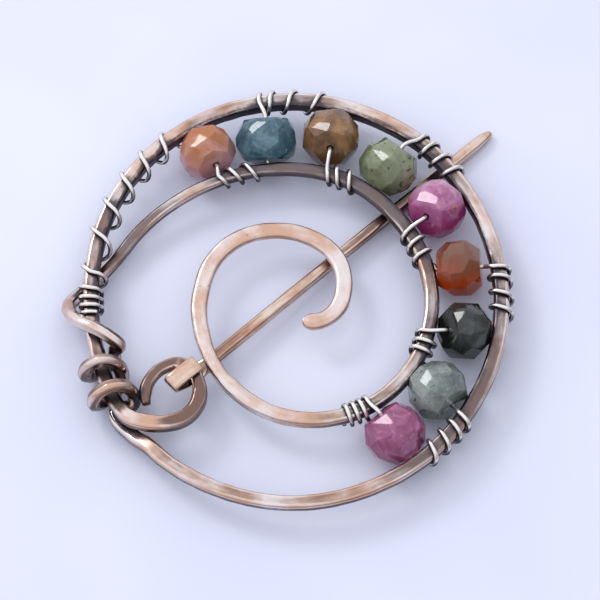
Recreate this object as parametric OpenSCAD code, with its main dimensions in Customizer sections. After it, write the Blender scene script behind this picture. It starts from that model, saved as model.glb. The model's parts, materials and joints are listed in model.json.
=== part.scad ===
// Wire-wrapped shawl pin: one hammered copper wire makes the outer ring, the inner ring,
// the open spiral, the swirl with its two coils and the small hinge ring.
// A straight pin stick hangs on the hinge ring by a folded strap.
// A thin silver wire zig-zags between the rings and carries nine faceted stone beads.
// Millimetres. The floor is z = 0, the rings lie level, and +X is the side of the beads.

/* [Frame wire] */
// Width of the outer ring over its wire, left to right
frame_w = 56.7; // [54:0.1:62]
// Height of the rings' wire centre above the floor
ring_z = 4.2; // [4.2:0.05:4.5]
// Width of the hammered wire, seen from above
wire_w = 2.05; // [1.7:0.05:2.2]
// Thickness of the hammered wire
wire_h = 1.85; // [1.5:0.05:1.95]
// Bevel along each edge of the hammered wire
wire_bevel = 0.45; // [0.2:0.05:0.6]

/* [Spiral] */
// Width of the flattened wire of the spiral
spiral_w = 2.3; // [1.9:0.05:2.6]
// Thickness of the flattened wire of the spiral
spiral_h = 1.1; // [0.8:0.05:1.3]
// Height of the spiral's wire centre above the floor
spiral_z = 4.55; // [4.5:0.05:4.8]

/* [Coils] */
// Sideways reach of the two coils, from the core's centre to the coil wire's centre
coil_side = 2.35; // [2.2:0.05:2.5]
// How much farther the second coil reaches sideways
coil_grow = 0.2; // [0:0.05:0.3]
// Upward reach of the two coils, from the core's centre to the coil wire's centre
coil_rise = 3.1; // [2.9:0.05:3.2]
// Size of the wire in the swirl and the coils, as a share of the rings' wire
coil_thin = 0.8; // [0.75:0.01:0.86]

/* [Hinge ring] */
// Radius of the hinge ring, to its wire's centre
hook_r = 3.7; // [3.5:0.05:3.8]
// Height of the hinge ring's wire centre above the floor
hook_z = 4.4; // [4.3:0.05:4.6]
// Diameter of the round length of wire that the pin turns on
bearing_d = 1.8; // [1.7:0.05:1.9]
// Width of the hinge ring's tapered tip
hook_tip_w = 1.1; // [0.8:0.05:1.4]

/* [Pin stick] */
// Length of the pin from its hinge axis to its tip
pin_len = 56.2; // [52:0.1:58]
// Width across the flats of the pin's shaft
pin_d = 1.6; // [1.4:0.05:1.8]
// Width across the flats at the blunt tip
pin_tip_d = 1.05; // [0.7:0.05:1.2]
// Length of the taper before the tip
taper_len = 3; // [2:0.5:8]
// Width of the flattened strap
strap_w = 2.6; // [2.2:0.1:2.7]
// Thickness of the flattened strap
strap_h = 0.5; // [0.4:0.05:0.55]
// Gap between the strap and the round wire that it turns on
strap_gap = 0.33; // [0.27:0.03:0.36]
// Distance from the hinge axis back to the centre of the strap's fold
fold_len = 2.9; // [2.7:0.05:3]
// Height of the centre of the strap's fold above the hinge axis
fold_up = 0.75; // [0.6:0.05:0.8]
// Outer radius of the strap's fold
fold_r = 0.85; // [0.8:0.05:0.95]
// Length of the strap's free end past the round wire
lip_len = 0.6; // [0.4:0.05:0.8]
// Direction of the pin in plan, in degrees from +X
pin_dir = 43.1; // [42.6:0.1:43.8]
// Droop of the pin's tip below level, in degrees
pin_droop = 2.25; // [2.05:0.05:2.3]

/* [Silver wire] */
// Diameter of the thin silver wire
silver_d = 0.6; // [0.5:0.02:0.66]
// Gap between a silver wrap and the wire that it goes round
wrap_gap = 0.18; // [0.16:0.01:0.25]
// Extra reach of the loose wraps on the inner side of the outer ring
loose_reach = 0.5; // [0:0.05:0.7]

/* [Beads] */
// Diameter of the bore through each bead
bore_d = 1.1; // [1:0.05:1.2]
// Number of facets round each bead
bead_facets = 8; // [8:1:10]
// Diameter of a bead's flat end as a share of its whole diameter
bead_table = 0.54; // [0.4:0.02:0.6]

/* [Hidden] */
// Where the outer ring's centre lies, so that the whole pin is centred on the origin
shift_x = 0.97;
shift_y = -0.45;

ring_r = (frame_w - wire_w) / 2;
// The inner ring's size and centre, and the spiral's, as shares of the outer ring's radius
inner_r = 0.568 * ring_r;
inner_c = [0.0934 * ring_r, 0];
spiral_r = 0.348 * ring_r;
spiral_c = [-0.119 * ring_r, 0.0183 * ring_r];
hook_c = [-0.597 * ring_r, -0.513 * ring_r];

// Columns: angle round the ring, radius share, height share, width share, thickness share
OUTER = [
    [225, 1.046, 0.62, 0.98, 0.95],
    [240, 1.070, 0.82, 0.94, 0.90],
    [270, 1.088, 0.92, 0.90, 0.88],
    [300, 1.062, 0.98, 0.95, 0.92],
    [330, 1.024, 1.00, 1.00, 1.00],
    [360, 1.003, 1.00, 1.00, 1.00],
    [390, 1.015, 1.00, 1.00, 1.00],
    [420, 1.058, 1.00, 1.04, 1.03],
    [450, 1.087, 1.00, 1.06, 1.05],
    [480, 1.078, 1.00, 1.02, 1.02],
    [510, 1.038, 1.00, 0.98, 1.00],
    [540, 1.000, 1.00, 0.98, 1.00],
    [562, 1.013, 1.00, 0.98, 1.00],
    [572, 1.036, 1.00, 0.98, 1.00],
    [578, 1.040, 1.00, 0.98, 1.00]];
// The same columns for the inner ring, about its own centre
INNER = [
    [-135, 1.115, 1.04, 1.00, 0.85],
    [-105, 1.182, 1.02, 0.95, 0.95],
    [-75, 1.165, 1.00, 0.93, 0.95],
    [-45, 1.088, 1.00, 0.95, 1.00],
    [-15, 1.020, 1.00, 0.97, 1.00],
    [15, 0.995, 1.00, 0.97, 1.00],
    [45, 1.027, 1.00, 0.97, 1.00],
    [75, 1.140, 1.00, 0.92, 0.95],
    [105, 1.265, 1.00, 0.82, 0.88],
    [135, 1.455, 0.92, 0.76, 0.82],
    [165, 1.740, 0.60, 0.78, 0.82]];
// Columns for the open spiral: angle, radius share, share of the way to the flattened size
SPIRAL = [
    [-49, 0.66, 1.0],
    [-36, 0.845, 1.0],
    [-20, 0.965, 1.0],
    [0, 1.015, 1.0],
    [28, 1.040, 1.0],
    [60, 0.970, 1.0],
    [90, 0.920, 1.0],
    [120, 0.917, 1.0],
    [150, 0.935, 1.0],
    [180, 0.978, 0.9],
    [205, 1.105, 0.6]];
// Columns for the hinge ring, about its own centre: angle, radius share
HOOK = [
    [-128, 1.60], [-109, 1.42], [-90, 1.30], [-72, 1.24], [-54, 1.18], [-36, 1.12], [-18, 1.06],
    [0, 1.02], [14, 1.00], [28, 1.00], [42, 1.00], [56, 1.00], [70, 1.00], [84, 0.99],
    [100, 0.90], [118, 0.86], [136, 0.83], [154, 0.83], [172, 0.86], [190, 0.92], [206, 0.98],
    [215, 1.03]];
// The swirl, from the run under the ring to the first coil: x and y as shares of the outer
// ring's radius, and the height as a share of ring_z
SWIRL = [
    [-0.925, 0.190, 0.42],
    [-0.980, 0.132, 0.34],
    [-1.040, 0.068, 0.36],
    [-1.085, 0.008, 0.52],
    [-1.109, -0.054, 0.80],
    [-1.092, -0.124, 1.15],
    [-1.037, -0.186, 1.43],
    [-0.962, -0.228, 1.54],
    [-0.896, -0.268, 1.50],
    [-0.848, -0.303, 1.30]];
// Where the second coil's wire comes out from under the core and becomes the outer ring.
// Columns: angle, radius share, height share
START = [
    [214.6, 0.990, 0.360],
    [213.5, 1.015, 0.275],
    [214.1, 1.047, 0.265],
    [215.8, 1.058, 0.275],
    [219.4, 1.058, 0.350],
    [223.6, 1.056, 0.500]];
// The same columns between the core and the hinge ring
LEAD = [[220.5, 1.028, 1.03]];
// The coils: full turns, how far the wire goes on after them, the angle round the ring where they
// begin, the degrees between two turns, and how far their tops lean
coil_turns = 2;
coil_more = 0.1;
coil_first = 199.3;
coil_pitch = 7.9;
coil_lean = 1.3;

// Silver wraps in order: which ring, then the angle round that ring of each pass over its top,
// then where it comes in before the first pass and how far it goes on after the last one, both
// in twelfths of a turn
WRAPS = [
    ["outer", [187, 184.7, 182.2, 179.5, 174.5, 162.5, 153.3, 144.5, 136.5, 129], -1, 7],
    ["inner", [127, 121.8, 115.7], 0, 7],
    ["outer", [100, 97, 91.7, 84.4], 0, 7],
    ["inner", [84.7, 80.4, 74.5], 0, 7],
    ["outer", [53.5, 50.2, 45.5, 40.6], 0, 7],
    ["inner", [35.5, 28.7, 21], 0, 8],
    ["outer", [7.3, 4.4, -0.8, -5.5], -1, 7],
    ["inner", [-22.3, -27.3, -31.8], 0, 8],
    ["outer", [-40.2, -43.6, -47.8, -52.2], -1, 7],
    ["inner", [-67, -70.2, -73.4, -76.6], 0, 7]];
loose_from = 4;
// Beads in the silver wire's order. Columns: angle and radius share round the outer ring,
// direction of the bore towards its upper end, rise of that end, diameter, length, turn
BEADS = [
    [119.5, 0.908, -63, 20, 8.0, 5.9, 10],
    [99.8, 0.874, 93, 24, 8.65, 5.8, 22],
    [78.8, 0.896, -92, 31, 8.6, 6.0, 5],
    [56.8, 0.846, 50, 27, 8.5, 6.3, 12],
    [33.9, 0.843, 234, 32, 8.2, 6.2, 20],
    [9.7, 0.815, 0, 9, 8.2, 5.8, 8],
    [-13.8, 0.842, 193, 28, 8.3, 5.5, 14],
    [-37.3, 0.853, -51, 11, 8.2, 6.1, 2],
    [-57.6, 0.878, 131, 27, 8.2, 6.5, 18]];
// A bead's outline: height as a share of its length, diameter share, half-step turn
BEAD_ROWS = [[-0.5, bead_table, 0], [-0.29, 0.89, 1], [-0.07, 1, 0], [0.07, 1, 0],
             [0.29, 0.89, 1], [0.5, bead_table, 0]];

copper = "#b98a6a";
silver = "#d6d3cc";
step_deg = 6;
spiral_steps = 30;
tip_turn = 8;
// Most degrees that a swept wire may turn between two of its rings of points
wire_turn = 16;
silver_turn = 40;
// Degrees of the hinge ring that are truly round, and the size of the bent wire inside them
bearing_span = 64;
bearing_core = 0.8;

function unit(v) = v / norm(v);
function flat_dir(a) = [cos(a), sin(a), 0];
// Smooth value of column c of a table at angle a: a cubic through its rows
function row_at(t, a) = max([0, for (i = [0:len(t) - 2]) if (a >= t[i][0]) i]);
function slope(t, c, i) =
    let (lo = max(i - 1, 0), hi = min(i + 1, len(t) - 1))
    (t[hi][c] - t[lo][c]) / (t[hi][0] - t[lo][0]);
function look(t, c, a) =
    let (i = row_at(t, a), h = t[i + 1][0] - t[i][0], s = (a - t[i][0]) / h,
         p = t[i][c], q = t[i + 1][c], m = slope(t, c, i) * h, n = slope(t, c, i + 1) * h,
         s2 = s * s, s3 = s2 * s)
    (2 * s3 - 3 * s2 + 1) * p + (s3 - 2 * s2 + s) * m + (3 * s2 - 2 * s3) * q + (s3 - s2) * n;

// Angles below the outer ring's first row belong to its second lap
function lap(a) = a < OUTER[0][0] ? a + 360 : a;
function outer_at(a) =
    ring_r * look(OUTER, 1, lap(a)) * flat_dir(a) + [0, 0, ring_z * look(OUTER, 2, lap(a))];
function inner_at(a) =
    [inner_c.x, inner_c.y, ring_z * look(INNER, 2, a)] + inner_r * look(INNER, 1, a) * flat_dir(a);
function spiral_at(a) =
    [spiral_c.x, spiral_c.y, mix(ring_z, spiral_z, look(SPIRAL, 2, a))]
    + spiral_r * look(SPIRAL, 1, a) * flat_dir(a);
function mix(p, q, s) = p + (q - p) * s;

// A stop of the wire's route: where it is, which way its top faces, its width and thickness
function stop(p, top, w, h) = [p, top, w, h];
up = [0, 0, 1];
function spiral_stop(a, w) = let (s = look(SPIRAL, 2, a))
    stop(spiral_at(a), up, w * mix(wire_w, spiral_w, s), mix(wire_h, spiral_h, s));
tip_from = SPIRAL[0][0];
tip_stops = [for (s = [0.1, 0.3, 0.6]) spiral_stop(tip_from + s * tip_turn, sqrt(s * (2 - s)))];
spiral_stops = [for (i = [0:spiral_steps])
    spiral_stop(mix(tip_from + tip_turn, SPIRAL[len(SPIRAL) - 1][0], i / spiral_steps), 1)];
inner_stops = [for (a = [INNER[0][0]:step_deg:INNER[len(INNER) - 1][0]])
    stop(inner_at(a), up, wire_w * look(INNER, 3, a), wire_h * look(INNER, 4, a))];
swirl_stops = [for (p = SWIRL)
    stop([p.x * ring_r, p.y * ring_r, p.z * ring_z], up, coil_thin * wire_w, coil_thin * wire_h)];
// The coils go over the core from its outer side to its inner side, then under it
function coil_stop(t) = let (
        phase = -360 * t,
        a = coil_first + coil_pitch * t - coil_lean * max(sin(phase), 0),
        side = coil_side + coil_grow * min(max(2 * t - 2, 0), 1),
        out = cos(phase) * -flat_dir(a) * side + [0, 0, sin(phase) * coil_rise])
    stop(outer_at(a) + out, -unit(out), coil_thin * wire_w, coil_thin * wire_h);
coil_stops = [for (t = [0:1 / 12:coil_turns + coil_more]) coil_stop(t)];
outer_stops = [for (a = [OUTER[0][0] + 3:step_deg:OUTER[len(OUTER) - 1][0]])
    stop(outer_at(a), up, wire_w * look(OUTER, 3, a), wire_h * look(OUTER, 4, a))];
function polar_point(row) = row[1] * ring_r * flat_dir(row[0]) + [0, 0, row[2] * ring_z];
start_stops = [for (i = [0:len(START) - 1]) let (size = mix(coil_thin, 1, (i + 1) / len(START)))
    stop(polar_point(START[i]), up, size * wire_w, size * wire_h)];
lead_stops = [for (row = LEAD) stop(polar_point(row), up, wire_w, wire_h)];
function hook_at(a) =
    [hook_c.x, hook_c.y, hook_z] + hook_r * look(HOOK, 1, a) * flat_dir(a);
// Inside the strap the swept wire is a little thinner than the round bearing round it
function hook_share(a) = a < 0 ? 1 : a < 80 ? 0.92 :
    a < 190 ? 0.8 : mix(0.8, hook_tip_w / wire_w, (a - 190) / (HOOK[len(HOOK) - 1][0] - 190));
function in_bearing(a) = abs(a - pin_dir) < bearing_span / 2 + 3;
hook_stops = [for (row = HOOK) stop(hook_at(row[0]), up,
    in_bearing(row[0]) ? bearing_core * bearing_d : wire_w * hook_share(row[0]),
    in_bearing(row[0]) ? bearing_core * bearing_d : wire_h * hook_share(row[0]))];

// Cubic through the stops, with more rings where the wire turns more
function dist(r, i) = norm(r[i + 1][0] - r[i][0]);
function heading(r, i) =
    i == 0 ? unit(r[1][0] - r[0][0]) :
    i == len(r) - 1 ? unit(r[i][0] - r[i - 1][0]) :
    let (d0 = dist(r, i - 1), d1 = dist(r, i))
    ((r[i][0] - r[i - 1][0]) / d0 * d1 + (r[i + 1][0] - r[i][0]) / d1 * d0) / (d0 + d1);
function turned(r, i) = acos(min(1, unit(heading(r, i)) * unit(heading(r, i + 1))));
function pieces(r, i, turn) = max(1, ceil(turned(r, i) / turn));
function between(r, i, s) = let (d = dist(r, i), s2 = s * s, s3 = s2 * s)
    [(2 * s3 - 3 * s2 + 1) * r[i][0] + (s3 - 2 * s2 + s) * d * heading(r, i)
        + (3 * s2 - 2 * s3) * r[i + 1][0] + (s3 - s2) * d * heading(r, i + 1),
     mix(r[i][1], r[i + 1][1], s), mix(r[i][2], r[i + 1][2], s), mix(r[i][3], r[i + 1][3], s)];
function refine(r, turn) = concat(
    [for (i = [0:len(r) - 2]) let (n = pieces(r, i, turn))
        for (k = [0:n - 1]) between(r, i, k / n)],
    [r[len(r) - 1]]);

// One ring of corner points round a stop; shape is a list of corners in units of half sizes
function ring_points(r, i, shape) = let (
        t = unit(heading(r, i)), side = unit(cross(t, r[i][1])), top = cross(side, t))
    [for (c = shape) r[i][0] + side * c.x * r[i][2] / 2 + top * c.y * r[i][3] / 2];
function bevelled(w, h, b) = let (x = 1 - 2 * b / w, y = 1 - 2 * b / h)
    [[1, y], [x, 1], [-x, 1], [-1, y], [-1, -y], [-x, -1], [x, -1], [1, -y]];
function round_shape(n) = [for (k = [0:n - 1]) [cos(360 * k / n), sin(360 * k / n)]];

module place() translate([shift_x, shift_y, 0]) children();

// A solid swept along stops; its two ends are closed
module sweep(r, shape) {
    n = len(shape);
    last = len(r) - 1;
    points = [for (i = [0:last]) each ring_points(r, i, shape)];
    walls = [for (i = [0:last - 1]) for (k = [0:n - 1]) let (
            a = i * n + k, b = i * n + (k + 1) % n)
        each [[a, b, b + n], [a, b + n, a + n]]];
    caps = [[for (k = [n - 1:-1:0]) k], [for (k = [0:n - 1]) last * n + k]];
    polyhedron(points = points, faces = concat(walls, caps), convexity = 12);
}

// From the spiral's tip by the inner ring, the swirl and two coils to the outer ring, then back
// through the coils as their core to the hinge ring's tip
wire_run = concat(tip_stops, spiral_stops, inner_stops, swirl_stops, coil_stops, start_stops,
                  outer_stops, lead_stops, hook_stops);

wire_shape = bevelled(wire_w, wire_h, wire_bevel);

module frame_wire() color(copper) place() {
    sweep(refine(wire_run, wire_turn), wire_shape);
    // The round length that the strap turns on
    translate([hook_c.x, hook_c.y, hook_z]) rotate(pin_dir - bearing_span / 2)
        rotate_extrude(angle = bearing_span)
            translate([hook_r, 0]) circle(d = bearing_d, $fn = 32);
}

// The pin in its own frame: the hinge axis along Y through the origin, the tip towards +X
strap_in = bearing_d / 2 + strap_gap;
strap_out = strap_in + strap_h;
strap_mid = (strap_in + strap_out) / 2;
// Where the free end leaves the round of the strap, in degrees above the shaft's direction
lip_angle = 76;
// The strap sits a little askew on the shaft
strap_skew = -1.5;
// The bent wire's middle lies this far outside the hinge axis, so that it fits the loop
axis_in = 0.1;
shaft_from = 3.4;
pin_shape = bevelled(2, 2, 0.55);
function pin_stop(x, z, w, h) = stop([x, 0, z], up, w, h);
taper_from = pin_len - taper_len;
pin_stops = [
    pin_stop(0.3, -strap_mid, strap_w, strap_h * 0.96),
    pin_stop(strap_out, -strap_mid, strap_w, strap_h * 0.96),
    pin_stop(shaft_from, -strap_mid, mix(strap_w, pin_d, 0.8), mix(strap_h, pin_d, 0.8)),
    pin_stop(shaft_from + 1.2, -strap_mid, pin_d, pin_d),
    pin_stop(taper_from, -strap_mid, pin_d, pin_d),
    pin_stop(mix(taper_from, pin_len, 0.5), -strap_mid, mix(pin_d, pin_tip_d, 0.3),
             mix(pin_d, pin_tip_d, 0.3)),
    pin_stop(pin_len - 0.5, -strap_mid, pin_tip_d * 1.1, pin_tip_d * 1.1),
    pin_stop(pin_len - 0.15, -strap_mid, pin_tip_d * 0.85, pin_tip_d * 0.85),
    pin_stop(pin_len, -strap_mid, pin_tip_d * 0.5, pin_tip_d * 0.5)];

// Side view of a strip folded round the bearing: a drop shape with a round fold behind
fold_c = [-fold_len, fold_up];
fold_at = atan2(fold_up, -fold_len);
function on_circle(r, a) = r * [cos(a), sin(a)];
module drop(r, fold) {
    open = acos((r - fold) / norm(fold_c));
    circle(r, $fn = 48);
    translate(fold_c) circle(fold, $fn = 32);
    polygon([on_circle(r, fold_at + open), fold_c + on_circle(fold, fold_at + open),
             fold_c + on_circle(fold, fold_at - open), on_circle(r, fold_at - open)]);
}
module strap_side() {
    difference() {
        drop(strap_out, fold_r);
        drop(strap_in, fold_r - strap_h);
        polygon([[0, 0], on_circle(3 * strap_out, lip_angle), 3 * strap_out * [1, -1],
                 [0, -3 * strap_out]]);
    }
    rotate(lip_angle - 90) translate([-0.05, strap_in]) square([lip_len + 0.05, strap_h]);
    translate([-0.1, -strap_out]) square([strap_out + 0.1, strap_h]);
}
module pin_stick() color(copper) place() at_hinge() {
    sweep(pin_stops, pin_shape);
    rotate([0, 0, strap_skew]) rotate([90, 0, 0]) translate([0, 0, -strap_w / 2])
        linear_extrude(strap_w) strap_side();
}
module at_hinge() {
    translate([hook_c.x, hook_c.y, hook_z] + (hook_r - axis_in) * flat_dir(pin_dir))
        rotate([0, 0, pin_dir]) rotate([0, pin_droop, 0]) children();
}

// The silver wire's path. Its wraps keep clear of the ring's wire where they go round it
function reach(g, a, c) = silver_d / 2 + wrap_gap
    + (c == 3 ? wire_w : wire_h) / 2 * (is_outer(g) ? look(OUTER, c, lap(a)) : look(INNER, c, a));
function is_outer(g) = WRAPS[g][0] == "outer";
function ring_at(g, a) = is_outer(g) ? outer_at(a) : inner_at(a);
// Wraps start over the top from the beads' side: inside the outer ring, outside the inner one
function bead_side(g, a) = is_outer(g) ? -flat_dir(a) : flat_dir(a);
function top_angle(g, t) = let (list = WRAPS[g][1], n = len(list),
        i = max(0, min(n - 2, floor(t))))
    mix(list[i], list[i + 1], t - i);
// Turn t counts from the first pass over the top; inwards is how far it lies to the beads' side
function slack(g, t) = g == 0 && t > loose_from - 0.75 ? loose_reach : 0;
function wrap_point(g, t) = let (a = top_angle(g, t), inwards = -sin(360 * t))
    ring_at(g, a)
        + bead_side(g, a) * (inwards * reach(g, a, 3) + max(0, inwards) * slack(g, t))
        + [0, 0, cos(360 * t) * reach(g, a, 4)];
function wrap_points(g) = let (n = len(WRAPS[g][1]))
    [for (k = [WRAPS[g][2]:12 * (n - 1) + WRAPS[g][3]]) wrap_point(g, k / 12)];

function bead_at(b) = ring_r * BEADS[b][1] * flat_dir(BEADS[b][0]) + [0, 0, ring_z];
function bore_dir(b) = [cos(BEADS[b][3]) * cos(BEADS[b][2]),
                        cos(BEADS[b][3]) * sin(BEADS[b][2]), sin(BEADS[b][3])];
function bore_points(b) = let (half = BEADS[b][5] / 2 + 0.3)
    [for (s = [-1, -0.8, 0.8, 1]) bead_at(b) + s * half * bore_dir(b)];
silver_points = [for (g = [0:len(WRAPS) - 1])
    each concat(g == 0 ? [] : bore_points(g - 1), wrap_points(g))];
silver_stops = [for (p = silver_points) stop(p, up, silver_d, silver_d)];
function carried(r, i, top) = i == len(r) ? [] :
    let (t = unit(heading(r, i)), next = unit(top - (top * t) * t))
    concat([[r[i][0], next, silver_d, silver_d]], carried(r, i + 1, next));

module silver_wire() color(silver) place()
    sweep(carried(refine(silver_stops, silver_turn), 0, up), round_shape(6));

// A faceted bead with its bore along Z, turned and set on the silver wire
module bead(b, tint) color(tint) place() translate(bead_at(b))
    rotate([0, 90 - BEADS[b][3], BEADS[b][2]]) rotate(BEADS[b][6]) difference() {
        bead_body(BEADS[b][4], BEADS[b][5]);
        translate([0, 0, -BEADS[b][5]]) cylinder(h = 2 * BEADS[b][5], d = bore_d, $fn = 24);
    }
module bead_body(d, length) {
    thin = 0.01;
    hull() for (row = BEAD_ROWS)
        translate([0, 0, row[0] * length * (1 - thin) - thin / 2])
            rotate(row[2] * 180 / bead_facets)
                cylinder(h = thin, d = d * row[1], $fn = bead_facets);
}

module bead_peach() bead(0, "#d9a086");
module bead_teal() bead(1, "#4f8088");
module bead_amber() bead(2, "#7a5a34");
module bead_sage() bead(3, "#9aa98a");
module bead_pink() bead(4, "#a8527c");
module bead_rust() bead(5, "#a5633f");
module bead_forest() bead(6, "#39423f");
module bead_misty() bead(7, "#93a49c");
module bead_plum() bead(8, "#8e4f70");

frame_wire();
pin_stick();
silver_wire();
bead_peach();
bead_teal();
bead_amber();
bead_sage();
bead_pink();
bead_rust();
bead_forest();
bead_misty();
bead_plum();
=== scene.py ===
# %% [markdown]
# # A wire-wrapped shawl pin
# The real pin is bent from one long hammered copper wire. Starting at the middle it makes an
# open spiral, an inner ring, a swirl that crosses over the outer ring, two coils, and then the
# big outer ring, whose end comes back up through the coils and turns into the small hinge ring.
# A straight stick hangs on that ring, and thin silver wire ties nine faceted stones in place.
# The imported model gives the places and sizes, and this script gives the looks. The wires are
# swept again here with a ring of points every quarter of a millimetre, because the solids only
# need a ring at every bend, and the stones are cut again with more and softer facets.

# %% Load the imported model
import json
import math

import bmesh
import bpy
import numpy as np
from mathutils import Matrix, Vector, kdtree, noise


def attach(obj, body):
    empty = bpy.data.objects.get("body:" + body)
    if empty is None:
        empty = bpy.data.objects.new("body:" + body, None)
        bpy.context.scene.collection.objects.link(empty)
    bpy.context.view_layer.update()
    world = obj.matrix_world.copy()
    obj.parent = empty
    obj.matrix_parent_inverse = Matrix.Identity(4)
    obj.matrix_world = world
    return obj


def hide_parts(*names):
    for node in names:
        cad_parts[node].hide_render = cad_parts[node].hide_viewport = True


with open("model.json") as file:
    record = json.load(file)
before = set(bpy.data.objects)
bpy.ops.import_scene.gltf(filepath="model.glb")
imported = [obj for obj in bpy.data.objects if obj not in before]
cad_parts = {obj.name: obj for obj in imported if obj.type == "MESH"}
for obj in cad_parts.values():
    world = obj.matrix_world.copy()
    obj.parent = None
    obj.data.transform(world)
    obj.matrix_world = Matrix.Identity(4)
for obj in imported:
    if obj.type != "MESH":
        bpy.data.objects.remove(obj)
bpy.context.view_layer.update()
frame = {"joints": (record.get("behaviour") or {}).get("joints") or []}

# %% [markdown]
# ## The camera
# The photograph looks down on the pin from in front, at 64 degrees above the table, through a
# long lens. A long lens keeps the near and the far side of the rings almost the same size.

# %% Camera
MM = 0.001
SHIFT = np.array([0.97, -0.45, 0.0])
ELEVATION = math.radians(64)
DISTANCE = 300
aim = SHIFT + np.array([0.55, -0.99, 4.2])
eye = aim + DISTANCE * np.array([0, -math.cos(ELEVATION), math.sin(ELEVATION)])


def put(name, data):
    """A new object with this data, in the scene."""
    made = bpy.data.objects.new(name, data)
    bpy.context.scene.collection.objects.link(made)
    return made


camera_data = bpy.data.cameras.new("camera")
camera_data.lens = 135
camera_data.sensor_width = 36
camera_data.clip_start = 0.01
camera_data.clip_end = 10
camera = put("camera", camera_data)
camera.location = [c * MM for c in eye]
camera.rotation_euler = (math.pi / 2 - ELEVATION, 0, 0)
bpy.context.scene.camera = camera
bpy.context.scene.view_settings.view_transform = "Standard"
print("camera at", [round(c, 1) for c in eye], "mm")

# %% [markdown]
# ## Routes of the wires
# Each ring is drawn as a radius that changes a little with the angle, since hand-bent rings are
# never true circles. The tables below hold a few chosen rows, and a cubic runs through them.
# The numbers are the same as in the part's source, so that the dressed wires lie on the solids.

# %% Sizes and tables
FRAME_W = 56.7
RING_Z = 4.2
WIRE_W, WIRE_H = 2.05, 1.85
SPIRAL_W, SPIRAL_H, SPIRAL_Z = 2.3, 1.1, 4.55
COIL_SIDE, COIL_GROW, COIL_RISE, COIL_THIN = 2.35, 0.2, 3.1, 0.8
HOOK_R, HOOK_Z, BEARING_D, HOOK_TIP_W = 3.7, 4.4, 1.8, 1.1
PIN_DIR = 43.1
RING_R = (FRAME_W - WIRE_W) / 2
INNER_R = 0.568 * RING_R
INNER_C = np.array([0.0934 * RING_R, 0])
SPIRAL_R = 0.348 * RING_R
SPIRAL_C = np.array([-0.119 * RING_R, 0.0183 * RING_R])
HOOK_C = np.array([-0.597 * RING_R, -0.513 * RING_R])

# Angle, radius share, height share, width share, thickness share
OUTER = np.array([
    [225, 1.046, 0.62, 0.98, 0.95], [240, 1.070, 0.82, 0.94, 0.90], [270, 1.088, 0.92, 0.90, 0.88],
    [300, 1.062, 0.98, 0.95, 0.92], [330, 1.024, 1.00, 1.00, 1.00], [360, 1.003, 1.00, 1.00, 1.00],
    [390, 1.015, 1.00, 1.00, 1.00], [420, 1.058, 1.00, 1.04, 1.03], [450, 1.087, 1.00, 1.06, 1.05],
    [480, 1.078, 1.00, 1.02, 1.02], [510, 1.038, 1.00, 0.98, 1.00], [540, 1.000, 1.00, 0.98, 1.00],
    [562, 1.013, 1.00, 0.98, 1.00], [572, 1.036, 1.00, 0.98, 1.00], [578, 1.040, 1.00, 0.98, 1.00]])
INNER = np.array([
    [-135, 1.115, 1.04, 1.00, 0.85], [-105, 1.182, 1.02, 0.95, 0.95], [-75, 1.165, 1.00, 0.93, 0.95],
    [-45, 1.088, 1.00, 0.95, 1.00], [-15, 1.020, 1.00, 0.97, 1.00], [15, 0.995, 1.00, 0.97, 1.00],
    [45, 1.027, 1.00, 0.97, 1.00], [75, 1.140, 1.00, 0.92, 0.95], [105, 1.265, 1.00, 0.82, 0.88],
    [135, 1.455, 0.92, 0.76, 0.82], [165, 1.740, 0.60, 0.78, 0.82]])
# Angle, radius share, share of the way to the flattened size
SPIRAL = np.array([
    [-49, 0.66, 1.0], [-36, 0.845, 1.0], [-20, 0.965, 1.0], [0, 1.015, 1.0], [28, 1.040, 1.0],
    [60, 0.970, 1.0], [90, 0.920, 1.0], [120, 0.917, 1.0], [150, 0.935, 1.0], [180, 0.978, 0.9],
    [205, 1.105, 0.6]])
# Angle, radius share
HOOK = np.array([
    [-128, 1.60], [-109, 1.42], [-90, 1.30], [-72, 1.24], [-54, 1.18], [-36, 1.12], [-18, 1.06],
    [0, 1.02], [14, 1.00], [28, 1.00], [42, 1.00], [56, 1.00], [70, 1.00], [84, 0.99],
    [100, 0.90], [118, 0.86], [136, 0.83], [154, 0.83], [172, 0.86], [190, 0.92], [206, 0.98],
    [215, 1.03]])
# Shares of the ring's radius and of its height
SWIRL = [
    [-0.925, 0.190, 0.42], [-0.980, 0.132, 0.34], [-1.040, 0.068, 0.36], [-1.085, 0.008, 0.52],
    [-1.109, -0.054, 0.80], [-1.092, -0.124, 1.15], [-1.037, -0.186, 1.43], [-0.962, -0.228, 1.54],
    [-0.896, -0.268, 1.50], [-0.848, -0.303, 1.30]]
# Angle, radius share, height share
START = [[214.6, 0.990, 0.360], [213.5, 1.015, 0.275], [214.1, 1.047, 0.265], [215.8, 1.058, 0.275],
         [219.4, 1.058, 0.350], [223.6, 1.056, 0.500]]
LEAD = [[220.5, 1.028, 1.03]]
print("outer ring", round(2 * RING_R, 2), "mm across its wire's centre")


# %% Reading the tables
def look(table, column, angle):
    """Value of a column at an angle: a cubic through the table's rows."""
    i = int(np.clip(np.searchsorted(table[:, 0], angle, side="right") - 1, 0, len(table) - 2))

    def slope(k):
        lo, hi = max(k - 1, 0), min(k + 1, len(table) - 1)
        return (table[hi, column] - table[lo, column]) / (table[hi, 0] - table[lo, 0])

    h = table[i + 1, 0] - table[i, 0]
    s = (angle - table[i, 0]) / h
    p, q, m, n = table[i, column], table[i + 1, column], slope(i) * h, slope(i + 1) * h
    return ((2 * s**3 - 3 * s**2 + 1) * p + (s**3 - 2 * s**2 + s) * m
            + (3 * s**2 - 2 * s**3) * q + (s**3 - s**2) * n)


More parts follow.
